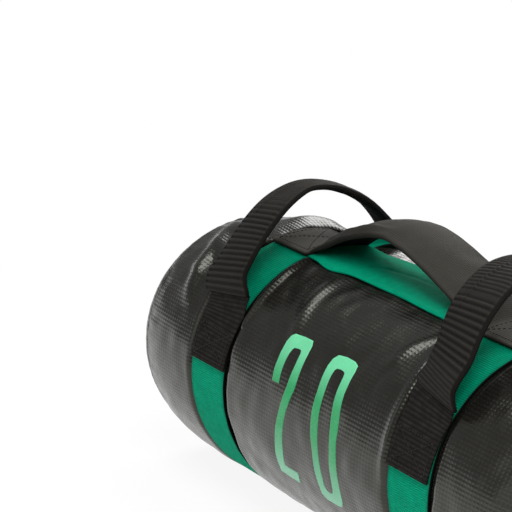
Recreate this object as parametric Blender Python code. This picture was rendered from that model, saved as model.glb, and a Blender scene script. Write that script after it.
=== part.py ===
"""Sandbag trainer: a cylindrical training weight with a coated-fabric skin, webbing straps and three handles.

Metres, +Z up. The bag's axis runs along X, its printed front faces -Y, and it rests on the floor at z = 0.
"""

import math

import bmesh
import bpy
from mathutils import Vector

# Skin and ends
bag_length = 0.505
bag_diameter = 0.190
end_diameter = 0.173
flat_half_angle = math.radians(18)
skin_thickness = 0.0012
seam_allowance = 0.008
end_crown = 0.0075
binding_thickness = 0.0008

# Ring straps and spine strap
strap_sink = 0.0015
beside_strap_sink = 0.001
strap_spacing = 0.275
strap_width = 0.050
webbing_thickness = 0.002
strap_ramp = 0.006
spine_width = 0.050

# Side handles
side_handle_rise = 0.039
side_tab_bottom = math.radians(80.5)
side_tab_top = math.radians(62)
sleeve_width = 0.058
sleeve_wall = 0.0018

# Centre handle
centre_handle_rise = 0.0375
centre_handle_width = 0.050
centre_handle_thickness = 0.003
centre_gutter_radius = 0.055

# Stitching
thread_width = 0.0012
thread_height = 0.0005
stitch_margin = 0.004

# Filling
foam_thickness = 0.003
sack_wall = 0.0008
sack_corner = 0.012
neck_diameter = 0.014
neck_bore = 0.006
neck_pocket_depth = 0.024
neck_pocket_diameter = 0.030
neck_set_back = 0.002
tie_width = 0.004
tie_thickness = 0.0015

# The gap that stands for contact between two pieces
clearance = 0.0003

# How finely round shapes are divided
sides_outside = 40
sides_inside = 20
tab_steps = 4
bare_steps = 2
cuff_steps = 2
loop_steps = 18
centre_patch_steps = 1
centre_flex_steps = 3
centre_loop_steps = 14
section_steps = 4
stitch_steps = 3

# Shares of the skin's shoulder between a ring strap and the end, measured from the strap
shoulder_power = 3
shoulder_shares = (0.35, 0.6, 0.8, 1.0)
# Share of the way from the middle to a ring strap over which the bag keeps its full diameter
belly_share = 0.5

# Shares of the strap radius that place the side handle's arch, and how full it is
arch_half_span_share = 0.90
arch_base_share = 0.40
arch_fullness = 1.35
arch_foot = math.radians(75)
arch_sleeve_end = math.radians(66)
arch_loop_start = math.radians(46)
side_hinge_share = 0.70

# Shares of the centre handle's half span where its free part starts, and how full its arch is
centre_loop_start_share = 0.66
centre_fullness = 1.75

# Shares of a sack's radius where its end faces turn, and of a panel's radius for its crown
sack_face_share = 0.72
crown_shares = (1.0, 0.7, 0.35, 0.08)
hub_share = 0.08
binding_lap_share = 0.6

axis_height = bag_diameter / 2 * math.cos(flat_half_angle)
strap_radius = bag_diameter / 2 - strap_sink
strap_inner_radius = strap_radius - webbing_thickness
strap_centre = strap_spacing / 2
strap_inner_edge = strap_centre - strap_width / 2
strap_outer_edge = strap_centre + strap_width / 2
skin_end = bag_length / 2 - binding_thickness - clearance
panel_plane = skin_end - seam_allowance
rim_radius = end_diameter / 2 - binding_thickness - clearance
panel_radius = rim_radius - skin_thickness - clearance
sewn_radius = strap_radius + clearance + webbing_thickness / 2
side_arch_crown = sewn_radius + side_handle_rise
side_arch_base = strap_radius * arch_base_share
side_hinge_height = strap_radius * side_hinge_share
patch_radius = strap_radius + clearance + centre_handle_thickness / 2
centre_hinge_height = patch_radius
sleeve_opening = webbing_thickness + 2 * clearance
sleeve_thickness = sleeve_opening + 2 * sleeve_wall
sleeve_slot_width = strap_width + 2 * clearance
liner_inset = skin_thickness + clearance
sack_inset = liner_inset + foam_thickness + clearance
sand_inset = sack_inset + sack_wall + clearance
disc_outer = panel_plane - skin_thickness - clearance
disc_inner = disc_outer - foam_thickness
liner_end = disc_inner - clearance
sack_end = liner_end


def clear_scene():
    for thing in list(bpy.data.objects):
        bpy.data.objects.remove(thing)


def make_material(name, colour, roughness):
    material = bpy.data.materials.new(name)
    material.use_nodes = True
    shader = material.node_tree.nodes["Principled BSDF"]
    shader.inputs["Base Color"].default_value = (*colour, 1)
    shader.inputs["Roughness"].default_value = roughness
    shader.inputs["Metallic"].default_value = 0
    material.diffuse_color = (*colour, 1)
    return material


def make_materials():
    return {
        "skin": make_material("pvc_coated_fabric", (0.035, 0.034, 0.032), 0.45),
        "green": make_material("green_webbing", (0.0, 0.33, 0.16), 0.75),
        "black": make_material("black_webbing", (0.022, 0.020, 0.019), 0.85),
        "thread": make_material("black_thread", (0.03, 0.028, 0.027), 0.8),
        "foam": make_material("grey_foam", (0.25, 0.25, 0.26), 0.9),
        "sack": make_material("woven_sack", (0.55, 0.55, 0.52), 0.6),
        "sand": make_material("dry_sand", (0.56, 0.42, 0.25), 1.0),
        "tie": make_material("nylon_tie", (0.7, 0.7, 0.66), 0.5),
    }


def make_empty(name, location):
    empty = bpy.data.objects.new(name, None)
    empty.empty_display_size = strap_width
    empty.location = location
    bpy.context.scene.collection.objects.link(empty)
    return empty


def finish_mesh(name, shape, material):
    """A mesh data block from a bmesh, smooth where it is round."""
    bmesh.ops.recalc_face_normals(shape, faces=shape.faces)
    if shape.calc_volume(signed=True) < 0:
        bmesh.ops.reverse_faces(shape, faces=shape.faces)
    mesh = bpy.data.meshes.new(name)
    shape.to_mesh(mesh)
    shape.free()
    mesh.shade_smooth()
    mesh.set_sharp_from_angle(angle=math.radians(40))
    mesh.materials.append(material)
    return mesh


def place(name, mesh, parent):
    thing = bpy.data.objects.new(name, mesh)
    thing.parent = parent
    bpy.context.scene.collection.objects.link(thing)
    return thing


def loft(rows, joined_ends=False):
    """A skin of quads over rows of points. Its first and last rows are capped, or joined to each other."""
    shape = bmesh.new()
    made = [[shape.verts.new(point) for point in row] for row in rows]
    pairs = list(zip(made, made[1:]))
    if joined_ends:
        pairs.append((made[-1], made[0]))
    else:
        shape.faces.new(made[0])
        shape.faces.new(made[-1])
    for first, second in pairs:
        for here in range(len(first)):
            following = (here + 1) % len(first)
            shape.faces.new((first[here], first[following], second[following], second[here]))
    return shape


def flattened(angle):
    """The bag's section at an angle from the top, as a share of its radius: the underside lies flat."""
    from_bottom = abs(math.pi - angle)
    if from_bottom < flat_half_angle:
        return math.cos(flat_half_angle) / math.cos(from_bottom)
    return 1


def around_axis(x, radius, sides):
    """A ring of points about the bag's axis, from the top round by the back."""
    points = []
    for side in range(sides):
        angle = 2 * math.pi * side / sides
        out = radius * flattened(angle)
        points.append(Vector((x, out * math.sin(angle), out * math.cos(angle))))
    return points


def skin_outline():
    """Half of the skin's profile, from the bag's middle to its end: distance along the bag, and radius."""
    full = bag_diameter / 2
    beside = full - beside_strap_sink
    pressed = strap_inner_radius - clearance
    shoulder_start = strap_outer_edge + clearance + strap_ramp
    outline = [
        (0, full),
        (strap_inner_edge * belly_share, full),
        (strap_inner_edge - clearance - strap_ramp, beside),
        (strap_inner_edge - clearance, pressed),
        (strap_outer_edge + clearance, pressed),
        (shoulder_start, beside),
    ]
    for share in shoulder_shares:
        along = shoulder_start + (panel_plane - shoulder_start) * share
        outline.append((along, beside - (beside - rim_radius) * share**shoulder_power))
    outline.append((skin_end, rim_radius))
    return outline


def skin_radius(x):
    """The skin's outer radius at a distance x from the bag's middle."""
    outline = skin_outline()
    for (start, low), (end, high) in zip(outline, outline[1:]):
        if abs(x) <= end:
            return low + (high - low) * (abs(x) - start) / (end - start)
    return rim_radius


def skin_ring(x, inset, sides):
    return around_axis(x, skin_radius(x) - inset, sides)


def stations_to(limit):
    """The places along half of the bag where its profile turns, out to a limit."""
    return [x for x, radius in skin_outline() if 0 < x < limit - clearance] + [limit]


def both_ways(limit):
    half = stations_to(limit)
    return [-x for x in reversed(half)] + [0] + half


def tube(limit, outer_inset, inner_inset, sides):
    """An open tube that follows the skin's profile between two insets."""
    outside = [skin_ring(x, outer_inset, sides) for x in both_ways(limit)]
    inside = [skin_ring(x, inner_inset, sides) for x in reversed(both_ways(limit))]
    return loft(outside + inside, joined_ends=True)


def end_panel(way):
    """A crowned disc whose rim turns out along the skin's end, where the two are sewn together."""
    dome = panel_radius - skin_thickness

    def face(plane):
        rings = []
        for share in crown_shares:
            x = plane + end_crown * (1 - share * share)
            rings.append(around_axis(way * x, dome * share, sides_outside))
        return rings

    rim = [
        around_axis(way * (panel_plane - skin_thickness), panel_radius, sides_outside),
        around_axis(way * skin_end, panel_radius, sides_outside),
        around_axis(way * skin_end, dome, sides_outside),
    ]
    inner_face = list(reversed(face(panel_plane - skin_thickness)))[:-1]
    return loft(inner_face + rim + face(panel_plane))


def end_binding(way):
    """A channel of tape over the sewn edges of the skin and the end panel."""
    outer = end_diameter / 2
    inner = panel_radius - skin_thickness - clearance - binding_thickness
    tip = bag_length / 2
    lap = tip - seam_allowance * binding_lap_share
    outline = [
        (panel_plane, outer),
        (tip, outer),
        (tip, inner),
        (lap, inner),
        (lap, inner + binding_thickness),
        (tip - binding_thickness, inner + binding_thickness),
        (tip - binding_thickness, outer - binding_thickness),
        (panel_plane, outer - binding_thickness),
    ]
    rows = [around_axis(way * x, radius, sides_outside) for x, radius in outline]
    return loft(rows, joined_ends=True)


def ring_strap():
    """A closed band of webbing, pressed into the skin."""
    half = strap_width / 2
    corners = [
        (-half, strap_radius),
        (half, strap_radius),
        (half, strap_inner_radius),
        (-half, strap_inner_radius),
    ]
    return loft([around_axis(x, radius, sides_outside) for x, radius in corners], joined_ends=True)


def spine_strap():
    """The webbing along the top of the bag, from ring strap to ring strap."""
    half_angle = spine_width / bag_diameter
    steps = section_steps + 2
    rows = []
    for x in both_ways(strap_inner_edge - clearance):
        low = skin_radius(x) + clearance
        high = low + webbing_thickness
        angles = [half_angle * (2 * step / steps - 1) for step in range(steps + 1)]
        lower = [Vector((x, low * math.sin(angle), low * math.cos(angle))) for angle in angles]
        upper = [Vector((x, high * math.sin(angle), high * math.cos(angle))) for angle in reversed(angles)]
        rows.append(lower + upper)
    return loft(rows)


def side_arch(turn):
    """A point on the side handle's arch, across the bag and up from its axis."""
    across = strap_radius * arch_half_span_share * math.sin(turn)
    up = side_arch_base + (side_arch_crown - side_arch_base) * math.cos(turn) ** arch_fullness
    return Vector((across, up))


def spread(start, end, steps):
    return [start + (end - start) * step / steps for step in range(steps + 1)]


def side_handle_line():
    """The webbing's middle line from the front tab's lower end over the bag to the back tab's."""
    sewn = [
        Vector((-sewn_radius * math.sin(angle), sewn_radius * math.cos(angle)))
        for angle in spread(side_tab_bottom, side_tab_top, tab_steps)
    ]
    rising = [side_arch(-turn) for turn in [arch_foot] + spread(arch_sleeve_end, arch_loop_start, cuff_steps)]
    over = [side_arch(turn) for turn in spread(-arch_loop_start, arch_loop_start, loop_steps)[1:-1]]
    mirrored = [Vector((-point.x, point.y)) for point in reversed(sewn + rising)]
    return sewn + rising + over + mirrored


def directions(line):
    """The direction of a line at each of its points."""
    found = []
    for here in range(len(line)):
        before = line[max(0, here - 1)]
        after = line[min(len(line) - 1, here + 1)]
        found.append((after - before).normalized())
    return found


def sweep(line, first, last, section, put):
    """Rows of section points along part of a line, each end held back by half of the clearance."""
    along = directions(line)
    rows = []
    for here in range(first, last + 1):
        shift = (here == first) - (here == last)
        middle = line[here] + along[here] * (shift * clearance / 2)
        outward = Vector((-along[here].y, along[here].x))
        rows.append([put(width, middle + outward * rise) for width, rise in section(here)])
    return rows


def put_side(width, point):
    return Vector((width, point.x, point.y))


def put_centre(width, point):
    return Vector((point.x, width, point.y))


def oblong(width, thickness):
    half = width / 2
    rise = thickness / 2
    return [(-half, -rise), (half, -rise), (half, rise), (-half, rise)]


def webbing_section(here):
    return oblong(strap_width, webbing_thickness)


def sleeve_section(here):
    return oblong(sleeve_width, sleeve_thickness)


def slot_section(here):
    return oblong(sleeve_slot_width, sleeve_opening)


def side_flex(line, front):
    """The bending stretch between a tab and the loop: bare webbing, then the sleeve's lower end round it."""
    cuff = tab_steps + bare_steps
    bare = sweep(line, tab_steps, cuff, webbing_section, put_side)
    sleeved = sweep(line, cuff, cuff + cuff_steps, sleeve_section, put_side)
    rows = bare + sleeved
    if not front:
        rows = [[Vector((point.x, -point.y, point.z)) for point in row] for row in rows]
    return loft(rows)


def side_loop(line):
    start = tab_steps + bare_steps + cuff_steps
    return loft(sweep(line, start, len(line) - 1 - start, webbing_section, put_side))


def side_sleeve(line):
    """The ribbed grip: a flat tube that the loop's webbing runs through."""
    start = tab_steps + bare_steps + cuff_steps
    end = len(line) - 1 - start
    outside = sweep(line, start, end, sleeve_section, put_side)
    inside = sweep(line, start, end, slot_section, put_side)
    return loft(outside + list(reversed(inside)), joined_ends=True)


def centre_handle_line():
    """The handle's middle line from the left patch's outer edge, over its arch, to the right patch's."""
    half_span = strap_inner_edge
    free = half_span * centre_loop_start_share

    def point(x):
        share = min(1, abs(x) / half_span)
        return Vector((x, patch_radius + centre_handle_rise * (1 - share**centre_fullness)))

    left = spread(-strap_outer_edge, -half_span, centre_patch_steps)
    left += spread(-half_span, -free, centre_flex_steps)[1:]
    over = spread(-free, free, centre_loop_steps)[1:-1]
    right = [-x for x in reversed(left)]
    return [point(x) for x in left + over + right]


def centre_section(line):
    """The handle's curved section, as round as the strap at its patches and rolled tighter over the arch."""

    def section(here):
        height = (line[here].y - patch_radius) / centre_handle_rise
        radius = patch_radius + (centre_gutter_radius - patch_radius) * height
        half_angle = centre_handle_width / 2 / radius
        angles = spread(-half_angle, half_angle, section_steps)
        low = radius - centre_handle_thickness / 2
        high = radius + centre_handle_thickness / 2
        lower = [(low * math.sin(angle), low * math.cos(angle) - radius) for angle in angles]
        upper = [(high * math.sin(angle), high * math.cos(angle) - radius) for angle in reversed(angles)]
        return lower + upper

    return section


def centre_piece(first, last):
    line = centre_handle_line()
    return loft(sweep(line, first, last, centre_section(line), put_centre))


def box_cross(length, width):
    """A flat stitched box with a cross in it, as an outline with four three-sided openings."""
    far = length / 2
    high = width / 2
    inner_far = far - thread_width
    inner_high = high - thread_width
    slope = math.hypot(inner_far, inner_high)
    tip_far = thread_width / 2 * slope / inner_high
    tip_high = thread_width / 2 * slope / inner_far
    outlines = [[(-far, -high), (far, -high), (far, high), (-far, high)]]
    for way in (-1, 1):
        base = way * inner_high
        outlines.append([(tip_far - inner_far, base), (inner_far - tip_far, base), (0, way * tip_high)])
        base = way * inner_far
        outlines.append([(base, tip_high - inner_high), (base, inner_high - tip_high), (way * tip_far, 0)])
    return outlines


def divided(corners):
    """The outline through some corners, with points along each side so that it can bend."""
    points = []
    for start, end in zip(corners, corners[1:] + corners[:1]):
        for step in range(stitch_steps):
            share = step / stitch_steps
            points.append((start[0] + (end[0] - start[0]) * share, start[1] + (end[1] - start[1]) * share))
    return points


def stitch_box(length, width, bend):
    """Thread sewn in a box and cross, laid on a round surface by the bend function."""
    shape = bmesh.new()
    for corners in box_cross(length, width):
        loop = [shape.verts.new((u, v, 0)) for u, v in divided(corners)]
        for here in range(len(loop)):
            shape.edges.new((loop[here - 1], loop[here]))
    bmesh.ops.triangle_fill(shape, edges=shape.edges, use_beauty=True)
    grown = bmesh.ops.extrude_face_region(shape, geom=shape.faces, use_keep_orig=True)
    for item in grown["geom"]:
        if isinstance(item, bmesh.types.BMVert):
            item.co.z = thread_height
    for corner in shape.verts:
        corner.co = bend(*corner.co)
    return shape


def side_stitches(way):
    """The box and cross on a side tab. It runs round the strap and across its width."""
    outside = sewn_radius + webbing_thickness / 2 + clearance
    middle = (side_tab_bottom + side_tab_top) / 2
    length = (side_tab_bottom - side_tab_top) * sewn_radius - 2 * stitch_margin
    width = strap_width - 2 * stitch_margin

    def bend(along, across, rise):
        angle = middle + along / outside
        out = outside + rise
        return Vector((across, way * out * math.sin(angle), out * math.cos(angle)))

    return stitch_box(length, width, bend)


def patch_stitches():
    """The box and cross on a centre patch. It lies across the top of the ring strap."""
    outside = patch_radius + centre_handle_thickness / 2 + clearance
    length = strap_width - 2 * stitch_margin
    width = centre_handle_width - 2 * stitch_margin

    def bend(along, across, rise):
        angle = across / outside
        out = outside + rise
        return Vector((along, out * math.sin(angle), out * math.cos(angle)))

    return stitch_box(length, width, bend)


def foam_disc(way):
    rows = []
    for x in (disc_inner, disc_outer):
        rows.append(around_axis(way * x, skin_radius(x) - liner_inset, sides_inside))
    return loft(rows)


def sack_outline(inset, step_in):
    """A filled sack's profile from its closed end: places along the bag, each with a radius.

    The neck's pocket is the last stretch. step_in moves every end face inwards, for the inside and the sand.
    """
    near = clearance / 2 + step_in
    far = sack_end - step_in
    sides = [x for x in stations_to(far - sack_corner) if x < far - sack_corner]
    outline = [(far, (skin_radius(far) - inset) * share) for share in (hub_share, sack_face_share)]
    for x in [far - sack_corner] + list(reversed(sides)) + [near + sack_corner]:
        outline.append((x, skin_radius(x) - inset))
    outline.append((near, (skin_radius(near) - inset) * sack_face_share))
    outline.append((near, neck_pocket_diameter / 2 + step_in))
    return outline


def sack_rings(way, outline):
    return [around_axis(way * x, radius, sides_inside) for x, radius in outline]


def sand_sack(way):
    """A sack with its neck gathered in a pocket at the bag's middle. The neck's bore keeps it open inside."""
    pocket = clearance / 2 + neck_pocket_depth
    outer = sack_outline(sack_inset, 0)
    inner = sack_outline(sack_inset + sack_wall, sack_wall)
    neck = [
        (pocket, neck_diameter / 2),
        (neck_set_back, neck_diameter / 2),
        (neck_set_back, neck_bore / 2),
        (pocket + sack_wall, neck_bore / 2),
        (pocket + sack_wall, neck_diameter / 2 + sack_wall),
    ]
    return loft(sack_rings(way, outer + neck + list(reversed(inner))))


def sand_fill(way):
    """The packed sand: it fills the sack and goes round the neck's pocket."""
    step_in = sack_wall + clearance
    outline = sack_outline(sand_inset, step_in)
    pocket = clearance / 2 + neck_pocket_depth + step_in
    return loft(sack_rings(way, outline + [(pocket, neck_diameter / 2 + step_in)]))


def neck_tie(way):
    """The tie that closes a sack's neck."""
    middle = (neck_set_back + neck_pocket_depth) / 2
    inner = neck_diameter / 2 + clearance
    outer = inner + tie_thickness
    near = middle - tie_width / 2
    far = middle + tie_width / 2
    outline = [(near, inner), (far, inner), (far, outer), (near, outer)]
    return loft(sack_rings(way, outline), joined_ends=True)


def build_bag(materials, bag):
    skin = tube(skin_end, 0, skin_thickness, sides_outside)
    place("bag_skin", finish_mesh("bag_skin", skin, materials["skin"]), bag)
    liner = tube(liner_end, liner_inset, liner_inset + foam_thickness, sides_inside)
    place("foam_liner", finish_mesh("foam_liner", liner, materials["foam"]), bag)
    for side, way in (("left", -1), ("right", 1)):
        pieces = (
            ("end_panel", end_panel(way), "skin"),
            ("end_binding", end_binding(way), "black"),
            ("foam_disc", foam_disc(way), "foam"),
            ("sand_sack", sand_sack(way), "sack"),
            ("sand_fill", sand_fill(way), "sand"),
            ("sack_tie", neck_tie(way), "tie"),
        )
        for piece, shape, kind in pieces:
            name = f"{piece}_{side}"
            place(name, finish_mesh(name, shape, materials[kind]), bag)


def build_straps(materials, bag, rings):
    band = finish_mesh("ring_strap", ring_strap(), materials["green"])
    for side, ring in rings.items():
        place(f"ring_strap_{side}", band, ring)
    place("spine_strap", finish_mesh("spine_strap", spine_strap(), materials["green"]), bag)


def move_mesh(mesh, offset):
    for corner in mesh.vertices:
        corner.co += offset
    return mesh


def build_side_handles(materials, rings):
    line = side_handle_line()
    black = materials["black"]
    last = len(line) - 1
    tab_front = loft(sweep(line, 0, tab_steps, webbing_section, put_side))
    tab_back = loft(sweep(line, last - tab_steps, last, webbing_section, put_side))
    fixed = {
        "tab_front": finish_mesh("side_tab_front", tab_front, black),
        "tab_back": finish_mesh("side_tab_back", tab_back, black),
        "stitches_front": finish_mesh("side_stitches_front", side_stitches(-1), materials["thread"]),
        "stitches_back": finish_mesh("side_stitches_back", side_stitches(1), materials["thread"]),
    }
    moving = {
        "flex_front": finish_mesh("side_flex_front", side_flex(line, True), black),
        "flex_back": finish_mesh("side_flex_back", side_flex(line, False), black),
        "loop": finish_mesh("side_loop", side_loop(line), black),
        "grip_sleeve": finish_mesh("side_grip_sleeve", side_sleeve(line), black),
    }
    down = Vector((0, 0, -side_hinge_height))
    for mesh in moving.values():
        move_mesh(mesh, down)
    for side, ring in rings.items():
        hinge = make_empty(f"{side}_handle_axis", (0, 0, side_hinge_height))
        hinge.parent = ring
        for piece, mesh in fixed.items():
            place(f"{side}_handle_{piece}", mesh, ring)
        for piece, mesh in moving.items():
            place(f"{side}_handle_{piece}", mesh, hinge)


def build_centre_handle(materials, bag, rings):
    last = len(centre_handle_line()) - 1
    patch = centre_patch_steps
    free = patch + centre_flex_steps
    hinge = make_empty("centre_handle_axis", (0, 0, centre_hinge_height))
    hinge.parent = bag
    down = Vector((0, 0, -centre_hinge_height))
    pieces = (
        ("patch_left", 0, patch, bag),
        ("patch_right", last - patch, last, bag),
        ("flex_left", patch, free, hinge),
        ("flex_right", last - free, last - patch, hinge),
        ("loop", free, last - free, hinge),
    )
    for piece, start, end, parent in pieces:
        mesh = finish_mesh(f"centre_{piece}", centre_piece(start, end), materials["black"])
        if parent is hinge:
            move_mesh(mesh, down)
        place(f"centre_handle_{piece}", mesh, parent)
    thread = finish_mesh("patch_stitches", patch_stitches(), materials["thread"])
    for side, ring in rings.items():
        place(f"centre_handle_stitches_{side}", thread, ring)


def main():
    clear_scene()
    materials = make_materials()
    bag = make_empty("bag_axis", (0, 0, axis_height))
    rings = {}
    for side, way in (("left", -1), ("right", 1)):
        rings[side] = make_empty(f"ring_axis_{side}", (way * strap_centre, 0, 0))
        rings[side].parent = bag
    build_bag(materials, bag)
    build_straps(materials, bag, rings)
    build_side_handles(materials, rings)
    build_centre_handle(materials, bag, rings)


main()
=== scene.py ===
"""Sandbag trainer: the coated-fabric bag, its webbing and its three handles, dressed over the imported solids.

Metres, +Z up. The bag's axis runs along X, its printed front faces -Y, and it rests on the floor at z = 0.
Angles round the bag are measured from its top: negative towards the front, positive towards the back.
"""

import functools
import math

import bpy
import numpy as np
from mathutils import Matrix, Vector


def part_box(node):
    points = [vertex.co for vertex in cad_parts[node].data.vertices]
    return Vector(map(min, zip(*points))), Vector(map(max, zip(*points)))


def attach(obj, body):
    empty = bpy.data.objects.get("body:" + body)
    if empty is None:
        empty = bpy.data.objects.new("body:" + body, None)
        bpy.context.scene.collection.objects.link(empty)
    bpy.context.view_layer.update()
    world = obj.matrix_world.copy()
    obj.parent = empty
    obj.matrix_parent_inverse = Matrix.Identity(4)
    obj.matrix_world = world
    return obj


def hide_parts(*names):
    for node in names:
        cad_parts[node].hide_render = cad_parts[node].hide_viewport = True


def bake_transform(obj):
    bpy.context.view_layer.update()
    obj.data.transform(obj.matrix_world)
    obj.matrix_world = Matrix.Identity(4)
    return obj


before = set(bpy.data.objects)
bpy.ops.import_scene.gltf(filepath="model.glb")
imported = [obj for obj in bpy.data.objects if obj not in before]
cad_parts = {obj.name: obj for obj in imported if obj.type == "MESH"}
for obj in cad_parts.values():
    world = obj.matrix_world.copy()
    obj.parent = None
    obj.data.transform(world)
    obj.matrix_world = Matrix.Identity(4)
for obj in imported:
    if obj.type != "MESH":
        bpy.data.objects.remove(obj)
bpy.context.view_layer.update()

bl_info = {
    "name": "Sandbag Trainer",
    "version": (1, 0, 0),
    "blender": (4, 5, 0),
    "location": "View3D > Sidebar > Sandbag",
    "description": "Dresses a sandbag trainer's packed solids with fabric, webbing, thread and print",
    "category": "Object",
}

MM = 0.001
TURN = 2 * math.pi
SIDES = (("left", -1), ("right", 1))

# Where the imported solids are
_, skin_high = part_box("bag_skin")
strap_low, strap_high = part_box("ring_strap_right")
tape_low, tape_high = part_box("end_binding_right")
SKIN_RADIUS = skin_high.y
STRAP_RADIUS = strap_high.y
AXIS_HEIGHT = strap_high.z - STRAP_RADIUS
SKIN_END = skin_high.x
TAPE_END = tape_high.x
TAPE_RADIUS = tape_high.y
PANEL_PLANE = tape_low.x
STRAP_NEAR = strap_low.x
STRAP_FAR = strap_high.x
STRAP_MIDDLE = (STRAP_NEAR + STRAP_FAR) / 2

# Sizes that the solids have, which a box doesn't give
FLAT_HALF_ANGLE = math.radians(18)
WEBBING = 2.0 * MM
CONTACT = 0.3 * MM
SKIN_THICKNESS = 1.2 * MM
TAPE = 0.5 * MM
RIM_RADIUS = TAPE_RADIUS + 0.9 * MM
PANEL_RADIUS = RIM_RADIUS - TAPE - SKIN_THICKNESS - 2 * CONTACT
PRESSED_RADIUS = STRAP_RADIUS - WEBBING - CONTACT
BESIDE_RADIUS = SKIN_RADIUS - 1.0 * MM
SEWN_RADIUS = STRAP_RADIUS + CONTACT + WEBBING / 2
TAB_BOTTOM = math.radians(80.5)
TAB_TOP = math.radians(62)
ARCH_SPAN = STRAP_RADIUS * 0.90
ARCH_BASE = STRAP_RADIUS * 0.40
ARCH_CROWN = SEWN_RADIUS + 39 * MM
ARCH_FULLNESS = 1.35
CENTRE_THICKNESS = 3.0 * MM
PATCH_RADIUS = STRAP_RADIUS + CONTACT + CENTRE_THICKNESS / 2
CENTRE_RISE = 38.5 * MM
CENTRE_PEAK = -8 * MM
CENTRE_FULLNESS = 1.75
GUTTER_RADIUS = 55 * MM

# How far the filling pushes the ends and their panels out, and how deep a dent is before it meets the liner
END_FULLNESS = 3.5 * MM
PANEL_CROWN = 7.5 * MM
DENT_LIMIT = 0.95 * MM

# Folds pressed into the skin: mm along the bag and degrees from its top, then height and width in mm
FRONT_FOLDS = (
    (((-111, -6), (-106.5, -18.4), (-102.8, -32.6), (-104.8, -45), (-106, -60)), 3.1, 4.4),
    (((-93, -14), (-91, -24), (-83.8, -33), (-66, -45)), -0.7, 6.0),
    (((-54, -17), (-52.2, -28), (-50, -36), (-44, -48), (-36, -58)), 1.6, 6.5),
    (((96, -19), (89, -27), (81, -34), (76, -40), (73, -46)), 1.6, 5.2),
    (((82, -44), (74, -50), (68, -60)), -0.9, 5.0),
    (((101, -30), (106.5, -42), (108, -52), (108, -66), (107, -90)), 2.6, 5.2),
    (((-158, -20), (-176, -19), (-200, -16), (-230, -12)), 2.0, 4.6),
    (((-158, -33), (-178, -31), (-196, -30), (-216, -27)), 2.2, 4.4),
    (((-158, -45), (-178, -45), (-194, -46), (-212, -43)), 1.3, 5.0),
    (((-170, -25), (-192, -24), (-218, -20)), -0.9, 4.0),
    (((-170, -38), (-190, -38), (-208, -36)), -1.0, 4.0),
    (((-188, -58), (-205, -62), (-228, -60)), -0.9, 9.0),
    (((-232, -8), (-214, -25), (-207, -35), (-201, -43), (-196, -52), (-190, -62)), 3.2, 7.5),
)


def hex_colour(text):
    """An sRGB hex value as a linear colour with full alpha."""
    parts = [int(text[i : i + 2], 16) / 255 for i in (1, 3, 5)]
    return [p / 12.92 if p <= 0.04045 else ((p + 0.055) / 1.055) ** 2.4 for p in parts] + [1.0]


def size(name, description, default):
    return bpy.props.FloatProperty(name=name, description=description, default=default, min=0, unit="LENGTH")


def tint(name, description, text):
    return bpy.props.FloatVectorProperty(
        name=name, description=description, default=hex_colour(text), size=4, min=0, max=1, subtype="COLOR"
    )


class SandbagSizes(bpy.types.PropertyGroup):
    """The sizes that a maker of the bag would change."""

    strap_width: size("Strap width", "Width of the green webbing", STRAP_FAR - STRAP_NEAR)
    grip_width: size("Grip width", "Width of a side handle's ribbed sleeve", 58 * MM)
    grip_thickness: size("Grip thickness", "Thickness of the sleeve with its webbing", 6.2 * MM)
    centre_width: size("Centre handle width", "Width of the centre handle", 50 * MM)
    thread_width: size("Thread width", "Thickness of the sewing thread", 0.9 * MM)
    stitch_length: size("Stitch length", "Length from one stitch to the next", 3.4 * MM)
    webbing_rib: size("Webbing rib", "Distance between the green webbing's cross ribs", 1.6 * MM)
    handle_rib: size("Handle rib", "Distance between the black webbing's cross ribs", 3.0 * MM)
    grip_rib: size("Grip rib", "Distance between the sleeve's broad ribs", 4.3 * MM)
    scrim_round: size("Scrim pitch round", "Distance between threads round the bag", 2.9 * MM)
    scrim_along: size("Scrim pitch along", "Distance between threads along the bag", 3.6 * MM)
    rumple_depth: size("Rumple depth", "Depth of the skin's soft unevenness", 0.55 * MM)


class SandbagColours(bpy.types.PropertyGroup):
    """The colours of the bag's fabrics and fillings."""

    coated_fabric: tint("Coated fabric", "The bag's skin and ends", "#1f1e1b")
    green_webbing: tint("Green webbing", "Ring straps and spine strap", "#00a57d")
    black_webbing: tint("Black webbing", "Side handle webbing", "#23211f")
    grip_fabric: tint("Grip fabric", "Side handle sleeves", "#2d2b28")
    centre_fabric: tint("Centre fabric", "Centre handle", "#403e39")
    thread: tint("Thread", "Sewing thread", "#171615")
    # The print's top and foot colours are a painted highlight and a painted reflection of the floor.
    print_highlight: tint("Print pale", "Top of the printed number", "#66d29b")
    print_full: tint("Print full", "Middle of the printed number", "#009b57")
    print_floor_reflection: tint("Print grey", "Foot of the printed number", "#7cc6a0")
    foam: tint("Foam", "Liner and end discs", "#8a8a8c")
    sand: tint("Sand", "Sand filling", "#c2a273")
    tie: tint("Tie", "Neck ties", "#d8d6cc")


def sizes():
    return bpy.context.scene.sandbag_sizes


def colours():
    return bpy.context.scene.sandbag_colours


# Materials


def toned(colour, share):
    """A colour made darker, or paler with a share above 1."""
    return [c * share for c in colour[:3]] + [1.0]


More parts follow.
